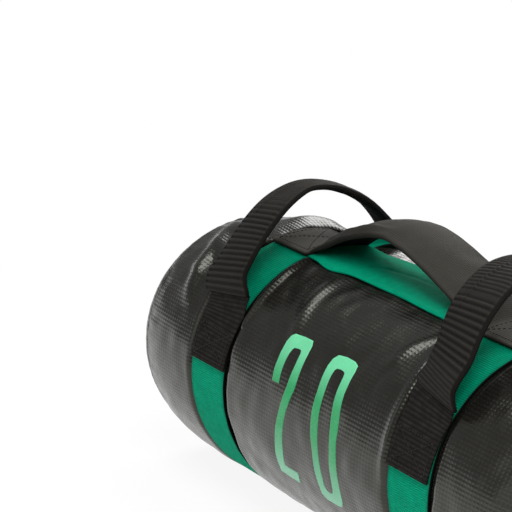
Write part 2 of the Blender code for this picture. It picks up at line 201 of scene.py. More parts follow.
class Finish:
    """A material of one shader, whose constants stand on the shader's own sockets."""

    def __init__(self, name, **constants):
        self.material = bpy.data.materials.new(name)
        self.material.use_nodes = True
        self.tree = self.material.node_tree
        self.shader = self.tree.nodes["Principled BSDF"]
        for socket, value in constants.items():
            self.shader.inputs[socket.replace("_", " ")].default_value = value

    def give(self, socket, value):
        """Sets an input to a value, or links it to another node's output."""
        if isinstance(value, bpy.types.NodeSocket):
            self.tree.links.new(value, socket)
        else:
            socket.default_value = value

    def add(self, kind, inputs=None, **settings):
        """A new node with its settings and inputs."""
        node = self.tree.nodes.new(f"ShaderNode{kind}")
        for name, value in settings.items():
            setattr(node, name, value)
        for name, value in (inputs or {}).items():
            self.give(node.inputs[name], value)
        return node

    def calculated(self, operation, first, second=0.0):
        return self.add("Math", {0: first, 1: second}, operation=operation).outputs[0]

    def ranged(self, value, low, high, to_low=0, to_high=1):
        """A value's range stretched to another one."""
        return self.add("MapRange", {0: value, 1: low, 2: high, 3: to_low, 4: to_high}).outputs[0]

    def mixed(self, share, first, second):
        """A colour between two, by a share that varies over the surface."""
        return self.add("Mix", {0: share, 6: first, 7: second}, data_type="RGBA").outputs[2]

    def map_parts(self, name):
        """The two values of one of the piece's maps."""
        return self.add("SeparateXYZ", {0: self.add("UVMap", uv_map=name).outputs[0]}).outputs

    def shaded(self, dark, colour):
        """A colour that gives way to a dark one where the piece's shade map falls from 1 to 0."""
        return self.mixed(self.map_parts("shade")[0], dark, colour)

    def waves(self, *pitches):
        """Sine waves from -1 to 1 over the lengths that a piece carries in its map, one for each pitch."""
        parts = zip(self.map_parts("lengths"), pitches)
        angles = [self.calculated("MULTIPLY", part, TURN / pitch) for part, pitch in parts]
        return [self.calculated("SINE", angle) for angle in angles]

    def pattern(self, kind, grain, **inputs):
        """The outputs of a texture in the object's own space, whose features are about one grain across."""
        place = self.add("TexCoord").outputs["Object"]
        return self.add(kind, {"Vector": place, "Scale": 1 / grain, **inputs}).outputs

    def speckle(self, grain, detail=2.0):
        """Uneven noise."""
        return self.pattern("TexNoise", grain, Detail=detail, Roughness=0.55)["Fac"]

    def done(self, colour, height, depth):
        """The material with its colour, and bump of a height that runs from 0 to 1 over a depth in metres."""
        bump = self.add("Bump", {"Height": height, "Distance": depth})
        self.give(self.shader.inputs["Base Color"], colour)
        self.give(self.shader.inputs["Normal"], bump.outputs[0])
        return self.material


def coated_fabric():
    """PVC film calendered over an open polyester scrim. It sinks between the scrim's threads, so rows of
    small pillows show and break its gloss. Its colour is painted darker between the pillows, as shade."""
    made = Finish("pvc_coated_fabric", Roughness=0.3, IOR=1.5, Specular_Tint=(1, 1, 0.88, 1))
    around, along = made.waves(sizes().scrim_round, sizes().scrim_along)
    pillow = made.calculated("MULTIPLY", made.ranged(around, -1, 1), made.ranged(along, -1, 1, 0.35))
    base = colours().coated_fabric
    scuffs = made.ranged(made.speckle(30 * MM, 5), 0.35, 0.7)
    worn = made.mixed(scuffs, toned(base, 0.8), toned(base, 1.3))
    made.give(made.shader.inputs["Roughness"], made.ranged(made.speckle(8 * MM, 4), 0.3, 0.7, 0.2, 0.3))
    # Painted shade: the colour is darker where the film sinks between the pillows.
    return made.done(made.mixed(pillow, toned(base, 0.6), worn), pillow, 0.11 * MM)


def webbing(name, colour, rib, crest=1.2):
    """Loom-woven polypropylene webbing: matt. Its colour is painted darker between its yarns and ribs, and
    near black down its edges and underside where its shade map falls, as shade. Its ribs are in the mesh, and
    the bump adds the warp threads that run along it."""
    made = Finish(f"{name}_polypropylene_webbing", Roughness=0.7, IOR=1.49, Specular_IOR_Level=0.03)
    across, along = made.waves(1.3 * MM, rib)
    yarn = made.calculated("MULTIPLY", made.ranged(across, -1, 1, 0.6), made.ranged(along, -1, 1, 0.45))
    worn = made.ranged(made.speckle(6 * MM, 4), 0.3, 0.7)
    tone = made.mixed(worn, toned(colour, 0.85), toned(colour, crest))
    # Painted shade: darker between the yarns and across the ribs.
    woven = made.mixed(made.ranged(yarn, 0.25, 1), toned(colour, 0.5), tone)
    # Painted shade: near black where the shade map marks the edges and the underside.
    return made.done(made.shaded(toned(colours().black_webbing, 0.2), woven), yarn, 0.2 * MM)


def grip_fabric(name, colour, pitch=0.9 * MM, crest=1.75):
    """Nylon knit, quite matt. Its colour is painted paler where lit, and darker as shade where its shade map
    falls: in its furrows, along its folded edges and underneath. It is also painted darker between its knit
    loops.
    """
    made = Finish(name, Roughness=0.65, IOR=1.5, Specular_IOR_Level=0.05)
    across, along = made.waves(pitch, pitch * 1.1)
    knit = made.calculated("MULTIPLY", made.ranged(across, -1, 1, 0.1), made.ranged(along, -1, 1, 0.1))
    worn = made.ranged(made.speckle(10 * MM, 4), 0.3, 0.7)
    # The tone at crest is the painted highlight of a lit crest; the noise only varies it.
    tone = made.mixed(worn, toned(colour, crest * 0.8), toned(colour, crest))
    # Painted shade between the knit loops.
    woven = made.mixed(knit, toned(colour, crest * 0.55), tone)
    # Painted shade in the furrows, folded edges and undersides that the shade map marks.
    return made.done(made.shaded(toned(colour, 0.3), woven), knit, 0.16 * MM)


def sewing_thread():
    """Bonded nylon thread, twisted from three plies, so each stitch shows slanting furrows. Its colour is
    painted darker in the furrows and paler on the plies, as shade and light.
    """
    made = Finish("bonded_nylon_thread", Roughness=0.5, IOR=1.53, Specular_IOR_Level=0.2)
    ply = made.ranged(made.waves(0.8 * MM)[0], -1, 1)
    thread = colours().thread
    # Painted shade in the furrows and painted light on the plies.
    return made.done(made.mixed(ply, toned(thread, 0.6), toned(thread, 1.5)), ply, 0.12 * MM)


def printed_ink():
    """Screen-printed plastisol ink: a smooth rubbery film. Down the number its colour runs from a painted
    highlight, pale at the top, through full green to pale grey at the foot, a painted reflection of the floor.
    """
    made = Finish("plastisol_print", Roughness=0.38, IOR=1.5, Specular_IOR_Level=0.3)
    # Painted highlight at the top and painted reflection of the floor at the foot, by place down the number.
    ramp = made.add("ValToRGB", {0: made.map_parts("lengths")["Y"]})
    stops = ramp.color_ramp.elements
    stops[0].position, stops[0].color = 0.10, colours().print_highlight
    stops[1].position, stops[1].color = 0.95, colours().print_floor_reflection
    for position in (0.33, 0.6):
        stops.new(position).color = colours().print_full
    dust = made.ranged(made.speckle(1.2 * MM), 0.35, 0.65, 0, 0.06)
    return made.done(made.mixed(dust, ramp.outputs[0], (1, 1, 1, 1)), made.speckle(1.5 * MM), 0.05 * MM)


def foam_board():
    """Closed-cell polyethylene foam, skived from a block: matt, with 1.5 mm cells cut open. Its colour is
    painted darker in the open cells, as shade.
    """
    made = Finish("polyethylene_foam", Roughness=0.85, IOR=1.45)
    cells = made.pattern("TexVoronoi", 1.5 * MM)["Distance"]
    # Painted shade in the open cells.
    return made.done(made.mixed(cells, toned(colours().foam, 0.7), colours().foam), cells, 0.3 * MM)


def dry_sand():
    """Washed quartz sand of 0.6 mm grains, drawn at 1.2 mm so that they show: matt and many-toned."""
    made = Finish("quartz_sand", Roughness=0.95, IOR=1.54)
    grains = made.pattern("TexVoronoi", 1.2 * MM)
    tone = made.add("SeparateXYZ", {0: grains["Color"]}).outputs[0]
    colour = made.mixed(tone, toned(colours().sand, 0.6), toned(colours().sand, 1.15))
    return made.done(colour, grains["Distance"], 0.4 * MM)


def moulded_nylon():
    """Moulded nylon tie strip: smooth, slightly waxy, with faint flow marks."""
    made = Finish("moulded_nylon", Roughness=0.4, IOR=1.53)
    flow = made.speckle(4 * MM, 3)
    return made.done(made.mixed(flow, toned(colours().tie, 0.9), colours().tie), flow, 0.05 * MM)


@functools.cache
def material(finish):
    """A finish's material, made when it is first asked for."""
    tints = colours()
    makers = {
        "coated_fabric": (coated_fabric,),
        "green_webbing": (webbing, "green", tints.green_webbing, sizes().webbing_rib),
        "black_webbing": (webbing, "black", tints.black_webbing, sizes().handle_rib, 2.2),
        "handle_fabric": (grip_fabric, "ribbed_grip_fabric", tints.grip_fabric),
        "centre_fabric": (grip_fabric, "centre_handle_fabric", tints.centre_fabric, 1.8 * MM, 2.3),
        "thread": (sewing_thread,),
        "print": (printed_ink,),
        "foam": (foam_board,),
        "sand": (dry_sand,),
        "nylon_tie": (moulded_nylon,),
    }
    make, *values = makers[finish]
    return make(*values)


# Shapes


def smooth_step(value, low, high):
    share = np.clip((value - low) / (high - low), 0, 1)
    return share * share * (3 - 2 * share)


def plateau(value, rise, fall):
    """1 between a rise and a fall, each given by its start and end, and 0 outside them."""
    return smooth_step(value, *rise) * (1 - smooth_step(value, *fall))


def bell(value, middle, width, power=2):
    """A smooth hill: 1 at its middle, and 0.37 one width away from it."""
    return np.exp(-(((value - middle) / width) ** power))


def turns(count):
    return np.arange(count) * TURN / count


def from_front(angle):
    """The same angle between half a turn back and half a turn on."""
    return (np.asarray(angle, float) + math.pi) % TURN - math.pi


def section_reach(angle):
    """How far the bag's section reaches at an angle, as a share of its radius: the underside rests flat."""
    from_bottom = math.pi - np.abs(from_front(angle))
    flat = math.cos(FLAT_HALF_ANGLE) / np.cos(np.minimum(from_bottom, 1.2))
    near = np.maximum(0.012 - np.abs(1 - flat), 0) / 0.012
    return np.minimum(1, flat) - near * near * 0.003


def roll_in(x):
    """How far the bound seam at each end has rolled in towards the axis, from the panel to its lip."""
    beyond = np.maximum(np.abs(x) - PANEL_PLANE, 0)
    return 0.18 * beyond + 1.0 * MM * (beyond / (9 * MM)) ** 3


def from_strap(x):
    """How far a place is outside the nearer ring strap's edges."""
    return np.abs(np.abs(x) - STRAP_MIDDLE) - (STRAP_FAR - STRAP_NEAR) / 2


def skin_profile(x):
    """The skin's radius along the bag: pressed in under the ring straps, and falling at its shoulders."""
    out = np.abs(x)
    belly = SKIN_RADIUS - (SKIN_RADIUS - BESIDE_RADIUS) * np.clip(out / STRAP_NEAR, 0, 1) ** 6
    bend = STRAP_FAR + 6 * MM
    share = np.clip((out - bend) / (PANEL_PLANE - bend), 0, 1)
    shoulder = BESIDE_RADIUS - (BESIDE_RADIUS - RIM_RADIUS) * share**3 - roll_in(x)
    full = np.where(out < STRAP_MIDDLE, belly, shoulder)
    beside = np.maximum(from_strap(x) - CONTACT, 0)
    roll = 1 - (1 - np.clip((beside - 1.8 * MM) / (6 * MM), 0, 1)) ** 2.2
    under_tape = (CONTACT + TAPE) * smooth_step(out, PANEL_PLANE + 0.3 * MM, PANEL_PLANE + 1.5 * MM)
    return PRESSED_RADIUS + (full - PRESSED_RADIUS) * roll - under_tape


def rumple(x, angle, wavelength, seed):
    """Soft seeded unevenness, about -1 to 1, that meets itself round the bag."""
    draw = np.random.default_rng(seed)
    total = np.zeros(np.broadcast(x, angle).shape)
    for _ in range(16):
        turn, pace, phase = draw.uniform(0, math.pi), draw.uniform(0.7, 1.4), draw.uniform(0, TURN)
        per_metre = TURN / (wavelength * pace)
        lobes = round(per_metre * math.sin(turn) * SKIN_RADIUS)
        total += np.cos(per_metre * math.cos(turn) * x + lobes * angle + phase)
    return total / 5


def fold(x, angle, path, height, width):
    """One pressed fold: a ridge, or a valley if its height is negative, that fades towards both ends."""
    arc = from_front(angle) * SKIN_RADIUS
    corners = [(place * MM, math.radians(turn) * SKIN_RADIUS) for place, turn in path]
    best = np.full(np.broadcast(x, arc).shape, 1e9)
    where = np.zeros_like(best)
    for number, (start, end) in enumerate(zip(corners, corners[1:])):
        run = (end[0] - start[0], end[1] - start[1])
        share = ((x - start[0]) * run[0] + (arc - start[1]) * run[1]) / (run[0] ** 2 + run[1] ** 2)
        held = np.clip(share, 0, 1)
        away = np.hypot(x - start[0] - held * run[0], arc - start[1] - held * run[1])
        nearer = away < best
        best = np.where(nearer, away, best)
        where = np.where(nearer, (number + held) / (len(corners) - 1), where)
    fade = np.clip(4 * where * (1 - where), 0, 1) ** 0.6
    return height * MM * fade * bell(best, 0, width * MM)


def back_folds():
    """Folds for the sides that the front's list leaves out, drawn with one seed, each beside a strap."""
    draw = np.random.default_rng(41)
    found = []
    edges = ((-112, 1, 52, 14), (112, -1, 52, 14), (-168, -1, 50, 14), (168, 1, 50, -100))
    for edge, way, reach, low in edges:
        for _ in range(9):
            start, tilt, length = draw.uniform(low, 140), draw.uniform(-16, 16), draw.uniform(0.5, 1) * reach
            height = draw.choice((1.3, 1.1, -0.9, -0.8))
            path = (
                (edge + way * 2, start),
                (edge + way * length * 0.5, start + tilt * 0.6),
                (edge + way * length, start + tilt),
            )
            found.append((path, height, draw.uniform(4, 6.5)))
    return found


FOLDS = FRONT_FOLDS + tuple(back_folds())


def swell(x, angle):
    """Where the filling has pushed the skin out: beside each ring strap and behind the spine strap."""
    back = from_front(angle)
    beside = 7.5 * MM * bell(np.abs(x), 186 * MM, 22 * MM) * bell(back, 0.34, 0.34)
    return beside + 5.6 * MM * plateau(back, (0.22, 0.44), (0.9, 1.5)) * bell(x, -72 * MM, 44 * MM, 4)


def skin_reach(x, angle):
    """How far the skin is from the bag's axis, with its folds, gathers and unevenness."""
    x, angle = np.broadcast_arrays(np.asarray(x, float), np.asarray(angle, float))
    depth = sizes().rumple_depth
    beside = np.maximum(from_strap(x), 0)
    inboard = PANEL_PLANE - np.abs(x)
    moved = depth * rumple(x, angle, 62 * MM, 5) + 0.4 * depth * rumple(x, angle, 24 * MM, 6)
    moved += 0.45 * MM * rumple(x * 0.15, angle, 17 * MM, 7) * np.exp(-beside / (9 * MM))
    moved += 0.5 * MM * rumple(x * 0.1, angle, 11 * MM, 8) * np.exp(-np.maximum(inboard, 0) / (11 * MM))
    moved += sum(fold(x, angle, *entry) for entry in FOLDS)
    moved += swell(x, angle)
    # The foam liner is close under the skin, so a dent stays shallow.
    moved = np.where(moved < 0, -DENT_LIMIT * np.tanh(-moved / DENT_LIMIT), moved)
    free = smooth_step(beside, 0.5 * MM, 3.5 * MM) * smooth_step(inboard + 1 * MM, 0, 6 * MM)
    off_floor = smooth_step(math.pi - np.abs(from_front(angle)), math.radians(16), math.radians(40))
    return skin_profile(x) * section_reach(angle) + moved * free * off_floor


def round_bag(x, reach, angle):
    """Points about the bag's axis. The filling pushes the ends out, and the top of each end's rim sags."""
    x, reach, angle = np.broadcast_arrays(x, reach, angle)
    beyond = np.maximum(np.abs(x) - PANEL_PLANE + 1.5 * MM, 0) * np.clip(reach / RIM_RADIUS, 0, 1) ** 6
    reach = reach - (0.2 * beyond + beyond**2 / (34 * MM)) * bell(from_front(angle), -0.1, 0.7)
    x = x + np.sign(x) * END_FULLNESS * smooth_step(np.abs(x), 190 * MM, 243 * MM)
    return np.stack([x, reach * np.sin(angle), AXIS_HEIGHT + reach * np.cos(angle)], -1)


# Meshes


def new_mesh(name, points, faces, places):
    """A smooth mesh. Its map, lengths, holds a place for each corner of each face."""
    mesh = bpy.data.meshes.new(name)
    mesh.from_pydata(points.reshape(-1, 3).tolist(), [], faces)
    mesh.uv_layers.new(name="lengths").data.foreach_set("uv", np.array(places, np.float32).ravel())
    mesh.shade_smooth()
    return mesh


def woven_mesh(name, points, row_places, column_places, wrap_rows=False, capped=False):
    """Quads over rows of points, each row closed, with each row's and column's place in the map."""
    rows, columns = points.shape[:2]
    down, over = np.mgrid[: rows if wrap_rows else rows - 1, :columns]
    corners = [(down, over), (down, over + 1), (down + 1, over + 1), (down + 1, over)]
    faces = np.stack([(r % rows) * columns + c % columns for r, c in corners], -1).reshape(-1, 4).tolist()
    places = [np.stack([column_places[c], row_places[r]], -1) for r, c in corners]
    places = np.stack(places, -2).reshape(-1, 2)
    if capped:
        ring = list(range(columns))
        faces += [ring[::-1], [c + (rows - 1) * columns for c in ring]]
        ends = [(column_places[c], row_places[0]) for c in ring[::-1]]
        ends += [(column_places[c], row_places[rows - 1]) for c in ring]
        places = np.concatenate([places, ends])
    mesh = new_mesh(name, points, faces, places)
    mesh.validate()
    return mesh


def mark(mesh, name, first, second=0.0):
    """Writes two values for each of a mesh's points into one of its maps."""
    corner = np.zeros(len(mesh.loops), int)
    mesh.loops.foreach_get("vertex_index", corner)
    first, second = np.broadcast_arrays(np.ravel(first), np.ravel(second))
    layer = mesh.uv_layers.get(name) or mesh.uv_layers.new(name=name)
    layer.data.foreach_set("uv", np.stack([first[corner], second[corner]], -1).astype(np.float32).ravel())


def outward(mesh):
    """Turns a closed mesh's faces to point out."""
    mesh.calc_loop_triangles()
    points = np.array([v.co for v in mesh.vertices])
    found = np.array([t.vertices[:] for t in mesh.loop_triangles])
    if np.linalg.det(points[found]).sum() < 0:
        mesh.flip_normals()
    return mesh


def put_piece(mesh, slot, nodes=(), finish=None, blend=None):
    """Places a piece, hides the nodes that it stands for and gives it its finish, or its slot's finish if none
    is given. Given bodies to blend, it only has its place baked in and joins none of them; otherwise it joins
    the bag's body.
    """
    piece = bpy.data.objects.new(mesh.name, outward(mesh))
    bpy.context.scene.collection.objects.link(piece)
    mesh.materials.append(material(finish or slot))
    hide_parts(*nodes)
    if blend:
        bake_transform(piece)
    else:
        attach(piece, "bag")
    return piece


def lengths_along(points, closed=False):
    """The length from the first point to each of the points, and round to the first again if closed."""
    line = np.concatenate([points, points[:1]]) if closed else points
    return np.concatenate([[0], np.cumsum(np.linalg.norm(np.diff(line, axis=0), axis=1))])


def read_along(at, places, columns):
    """The columns of a table at places between those of its rows."""
    return np.stack([np.interp(at, places, column) for column in columns.T], -1)


def evenly(points, spacing):
    """The same line with points at an even spacing."""
    lengths = lengths_along(points)
    count = max(2, round(lengths[-1] / spacing) + 1)
    return read_along(np.linspace(0, lengths[-1], count), lengths, points)


def softened(points, reach):
    """An even line with its corners rounded over a number of points on each side."""
    before = points[0] + (points[0] - points[1]) * np.arange(reach, 0, -1)[:, None]
    after = points[-1] + (points[-1] - points[-2]) * np.arange(1, reach + 1)[:, None]
    window = np.hanning(2 * reach + 3)[1:-1]
    window /= window.sum()
    return np.stack([np.convolve(c, window, "valid") for c in np.concatenate([before, points, after]).T], -1)


def left_normals(points):
    """Unit vectors square to a line in a plane, on its left."""
    run = np.gradient(points, axis=0)
    run /= np.linalg.norm(run, axis=1)[:, None]
    return np.stack([-run[:, 1], run[:, 0]], -1)


def band_section(width, thickness, top_points=15):
    """The outline of flat webbing with rounded edges, as (across, rise): its top, then back underneath."""
    rise = thickness / 2
    flat = width / 2 - rise
    turn = np.linspace(0, math.pi, 6)[1:-1]
    top = np.stack([np.linspace(flat, -flat, top_points), np.full(top_points, rise)], -1)
    left = np.stack([-flat - rise * np.sin(turn), rise * np.cos(turn)], -1)
    under = np.stack([np.linspace(-flat, flat, 7), np.full(7, -rise)], -1)
    right = np.stack([flat + rise * np.sin(turn), -rise * np.cos(turn)], -1)
    return np.concatenate([top, left, under, right])


def ribbed(section, places, width, pitch, depth, edge_rise=0.18 * MM):
    """A section for each place along a band, with cross ribs on its top and a thicker woven edge."""
    rows = np.repeat(section[None], len(places), 0)
    top = smooth_step(section[:, 1], -0.2 * MM, section[:, 1].max())
    edge = smooth_step(np.abs(section[:, 0]), width / 2 - 4 * MM, width / 2 - 2.5 * MM)
    wave = (np.cos(TURN * places / pitch) - 1) * depth / 2
    rows[..., 1] += wave[:, None] * top * (1 - 0.6 * edge) + edge_rise * top * edge
    return rows


# One stitch as rings of six points: place along it, and its thickness there
STITCH_RINGS = ((-0.5, 0.35), (-0.32, 0.85), (0, 1.0), (0.32, 0.85), (0.5, 0.35))


def stitched(name, runs, put):
    """Stitches along straight runs of a flat pattern, laid on a surface by put(along, across, rise)."""
    pitch, thick = sizes().stitch_length, sizes().thread_width / 2
    middles, ways = [], []
    for start, end in np.array(runs, float):
        length = np.linalg.norm(end - start)
        count = max(1, round(length / pitch))
        middles += [start + (end - start) * (number + 0.5) / count for number in range(count)]
        ways += [(end - start) / length] * count
    middle, way = (np.array(values).T[..., None, None] for values in (middles, ways))
    step, girth = np.array(STITCH_RINGS).T[..., None]
    along, side = step * pitch * 0.82, girth * thick * np.sin(turns(6))
    rise = thick * (girth * np.cos(turns(6)) * 0.8 - 4 * step * step * 0.7 + 0.25)
    points = put(along * way[0] - side * way[1] + middle[0], along * way[1] + side * way[0] + middle[1], rise)
    each = len(STITCH_RINGS) * 6
    quads = [(r * 6, s) for r in range(len(STITCH_RINGS) - 1) for s in range(6)]
    one = [[base + s, base + (s + 1) % 6, base + 6 + (s + 1) % 6, base + 6 + s] for base, s in quads]
    one += [list(range(5, -1, -1)), list(range(each - 6, each))]
    faces = [[stitch * each + corner for corner in face] for stitch in range(len(ways)) for face in one]
    plies = [(base / 6 + end + 0.3 * s) * pitch / 4 for base, s in quads for end in (0, 0, 1, 1)]
    return new_mesh(name, points, faces, [(place, 0) for place in plies + [0] * 12] * len(ways))


def box_and_cross(length, width):
    """The runs of a sewn box with a cross in it."""
    far, high = length / 2, width / 2
    corners = [(-far, -high), (far, -high), (far, high), (-far, high)]
    return list(zip(corners, corners[1:] + corners[:1])) + [corners[::2], corners[1::2]]


# Bag


class BuildSkin(bpy.types.Operator):
    """Lofts the bag's skin: a filled fabric tube, with folds where its straps and seams hold it"""

    bl_idname = "sandbag.skin"
    bl_label = "Bag Skin"

    def execute(self, context):
        half = self.half_rows()
        along = np.concatenate([-half[:0:-1], half])
        angles = turns(420)
        outside = round_bag(along[:, None], skin_reach(along[:, None], angles), angles)
        back = np.linspace(half[-1], -half[-1], 40)
        lining = (skin_profile(back) - SKIN_THICKNESS)[:, None] * section_reach(angles)
        rows = np.concatenate([outside, round_bag(back[:, None], lining, angles)])
        row_places = np.concatenate([along, back, along[:1]])
        arc = np.append(angles, TURN) * SKIN_RADIUS
        mesh = woven_mesh("bag_skin_fabric", rows, row_places, arc, wrap_rows=True)
        skin = put_piece(mesh, "coated_fabric", ["bag_skin"])
        return {"FINISHED"}

    @staticmethod
    def half_rows():
        """Places of the skin's rows from its middle to one end: close by a strap's edges, wide under it."""
        places = [0.0]
        while places[-1] < SKIN_END - 3.9 * MM:
            near_edge = min(abs(places[-1] - STRAP_NEAR), abs(places[-1] - STRAP_FAR)) < 8 * MM
            hidden = STRAP_NEAR < places[-1] < STRAP_FAR
            places.append(places[-1] + (0.7 * MM if near_edge else 3 * MM if hidden else 1.6 * MM))
        return np.array(places[:-1] + [SKIN_END - 3 * MM])


class BuildEnds(bpy.types.Operator):
    """Makes the round end panels, the tape that binds their seams and the tape's stitches"""

    bl_idname = "sandbag.ends"
    bl_label = "Bag Ends"

    def execute(self, context):
        angles = turns(240)
        section = section_reach(angles)
        arc = np.append(angles, TURN) * PANEL_RADIUS
        share = np.linspace(0.02, 1, 42)[:, None]
        crown = PANEL_CROWN * (1 - share**2)
        dome = PANEL_RADIUS - SKIN_THICKNESS
        spread = dome * share * section
        inside, hem = PANEL_PLANE - SKIN_THICKNESS, PANEL_PLANE + 4 * MM
        rim_corners = (
            (inside, PANEL_RADIUS - CONTACT),
            (PANEL_PLANE, PANEL_RADIUS),
            (hem, PANEL_RADIUS),
            (hem, dome),
            (PANEL_PLANE + 1.5 * MM, dome),
        )
        for side, way in SIDES:
            puckers = 0.45 * MM * rumple(share * 0.02, angles, 13 * MM, 9 + way) * np.exp(-(1 - share) / 0.10)
            dents = 0.35 * MM * rumple(share * 0.085, angles, 90 * MM, 12 + way)
            relief = puckers + dents * (1 - share**4) * smooth_step(share, 0.02, 0.45)
            within = round_bag(way * (inside + crown), spread, angles)
            outside = round_bag(way * (PANEL_PLANE + relief + crown), spread, angles)
            rim = [round_bag(way * x, (r - roll_in(x)) * section, angles)[None] for x, r in rim_corners]
            rows = np.concatenate([within, *rim, outside[::-1]])
            mesh = woven_mesh(f"end_panel_fabric_{side}", rows, lengths_along(rows[:, 0]), arc, capped=True)
            mark(mesh, "lengths", rows[..., 1], rows[..., 2])
            put_piece(mesh, "coated_fabric", [f"end_panel_{side}"])
            self.bind(side, way)
        return {"FINISHED"}

    def bind(self, side, way):
        """Folds the tape over the seam and sews it down."""
        angles = turns(480)
        start, lip, top = PANEL_PLANE, TAPE_END, RIM_RADIUS
        under = PANEL_RADIUS - SKIN_THICKNESS - CONTACT - TAPE
        bend = np.linspace(0, math.pi / 2, 7)[1:]
        outline = np.concatenate(
            [
                [(start, top - 0.3 * MM), (start + 0.4 * MM, top + 0.08 * MM)],
                [(start + 1.5 * MM, top + 0.05 * MM)],
                [(start + step * MM, top) for step in (2.5, 3.5, 4.5)],
                np.stack([lip - 4 * MM * (1 - np.sin(bend)), top - 4 * MM * (1 - np.cos(bend))], -1),
                [(lip, under + 1.2 * MM), (lip - 0.5 * MM, under + 0.3 * MM), (lip - 1.4 * MM, under)],
                [(lip - 4.8 * MM, under), (lip - 4.8 * MM, under + TAPE), (lip - TAPE, under + TAPE)],
                [(lip - TAPE, top - 4.4 * MM), (lip - 3.5 * MM, top - TAPE)],
            ]
        )
        x, radius = outline.T[..., None]
        shown = (radius > under + 2 * MM) * (x > start + 1 * MM)
        puckers = np.abs(0.2 * MM * rumple(0, angles, 12 * MM, 17 + way)) * shown
        rows = round_bag(way * x, (radius - roll_in(x)) * section_reach(angles) - puckers, angles)
        lengths = lengths_along(outline)
        arc = np.append(angles, TURN) * TAPE_RADIUS
        row_places = np.append(lengths, lengths[-1] + 1 * MM)
        mesh = woven_mesh(f"end_binding_fabric_{side}", rows, row_places, arc, wrap_rows=True)
        put_piece(mesh, "binding_tape", [f"end_binding_{side}"], "coated_fabric")
        seam = top - roll_in(lip) - 5 * MM

        def put(along, across, rise):
            angle = along / seam
            return round_bag(way * (lip + rise), (seam + across) * section_reach(angle), angle)

        put_piece(stitched(f"end_binding_thread_{side}", [((0, 0), (TURN * seam, 0))], put), "thread")


# The number's strokes, in mm from its top left corner across and down the bag: outer side, then inner side
TWO_OUTER = (
    (2, 37), (0.3, 28), (0, 17), (1, 8.5), (3.5, 4), (7.5, 1), (18, 0), (30, 0), (32.3, 3.5), (32, 19),
    (31.5, 36), (29, 47), (25.5, 58), (22, 74), (19, 87), (17.5, 95.5), (34, 96.5), (32.5, 105.5),
)
TWO_INNER = (
    (11.3, 37), (10.4, 30), (10.2, 20.5), (10.8, 15), (12, 11.8), (13.5, 10), (18.4, 9.3), (22, 9.4),
    (23, 11.5), (23, 21), (21.5, 38), (19, 48), (15.5, 60), (12, 75.5), (8.5, 90.3), (6, 104.5),
    (16.5, 105.5), (32.5, 105.5),
)
ZERO_OUTER = (
    (0.2, 20), (0.8, 10), (2.2, 4.5), (6, 0.6), (15.6, -0.6), (26, -0.3), (31, 1.4), (32.4, 6), (32.8, 22),
    (35.4, 38.4), (37.6, 62), (37.6, 82), (36, 98), (33, 103.5), (26, 105), (13, 104.4), (8, 101), (6.5, 88),
    (3.4, 64), (0.8, 42),
)
ZERO_INNER = (
    (9.6, 22), (9.9, 14.5), (10.6, 11.2), (12.4, 9.4), (16, 8.8), (20, 9), (22, 9.8), (22.9, 12), (23.4, 23),
    (25.6, 39), (28, 62), (28.2, 81), (27, 92), (25.5, 95), (22, 95.8), (18, 95.6), (15.6, 93.5), (15, 84),
    (12.6, 63), (10.2, 43),
)
NUMBER_TOP = math.radians(50.5)
NUMBER_HEIGHT = 105.5
# The ink film across a stroke: shares of its width, and mm above the fabric
INK_SHARES = (0, 0, 0.02, 0.15, 0.3, 0.45, 0.6, 0.75, 0.88, 0.98, 1, 1)
INK_HEIGHTS = (-0.5, 0.06, 0.16, 0.18, 0.18, 0.18, 0.18, 0.18, 0.18, 0.16, 0.06, -0.5)


class PrintNumber(bpy.types.Operator):
    """Lays the printed number 20 on the front of the bag as a thin film of ink"""

    bl_idname = "sandbag.number"
    bl_label = "Printed Number"

    def execute(self, context):
        self.stroke("printed_two", -46.2, (TWO_OUTER, TWO_INNER), False)
        self.stroke("printed_zero", 12.6, (ZERO_OUTER, ZERO_INNER), True)
        return {"FINISHED"}

    def stroke(self, name, left, sides, closed):
        sides = np.array(sides, float)
        if closed:
            sides = np.concatenate([sides, sides[:, :1]], 1)
        last = sides.shape[1] - 1
        steps = np.linspace(0, last, 14 * last + 1)[: -1 if closed else None]
        outer, inner = (read_along(steps, np.arange(last + 1), side)[:, None] for side in sides)
        share = np.array(INK_SHARES)[:, None]
        across, down = np.moveaxis(outer * (1 - share) + inner * share, -1, 0)
        x = (left + across) * MM
        angle = -(NUMBER_TOP + down * MM / SKIN_RADIUS)
        rows = round_bag(x, skin_reach(x, angle) + np.array(INK_HEIGHTS) * MM, angle)
        mesh = woven_mesh(name, rows, np.append(steps, last), np.arange(13.0), closed, not closed)
        mark(mesh, "lengths", across * MM, np.clip(down / NUMBER_HEIGHT, 0, 1))
        put_piece(mesh, "coated_fabric", finish="print")


# Straps


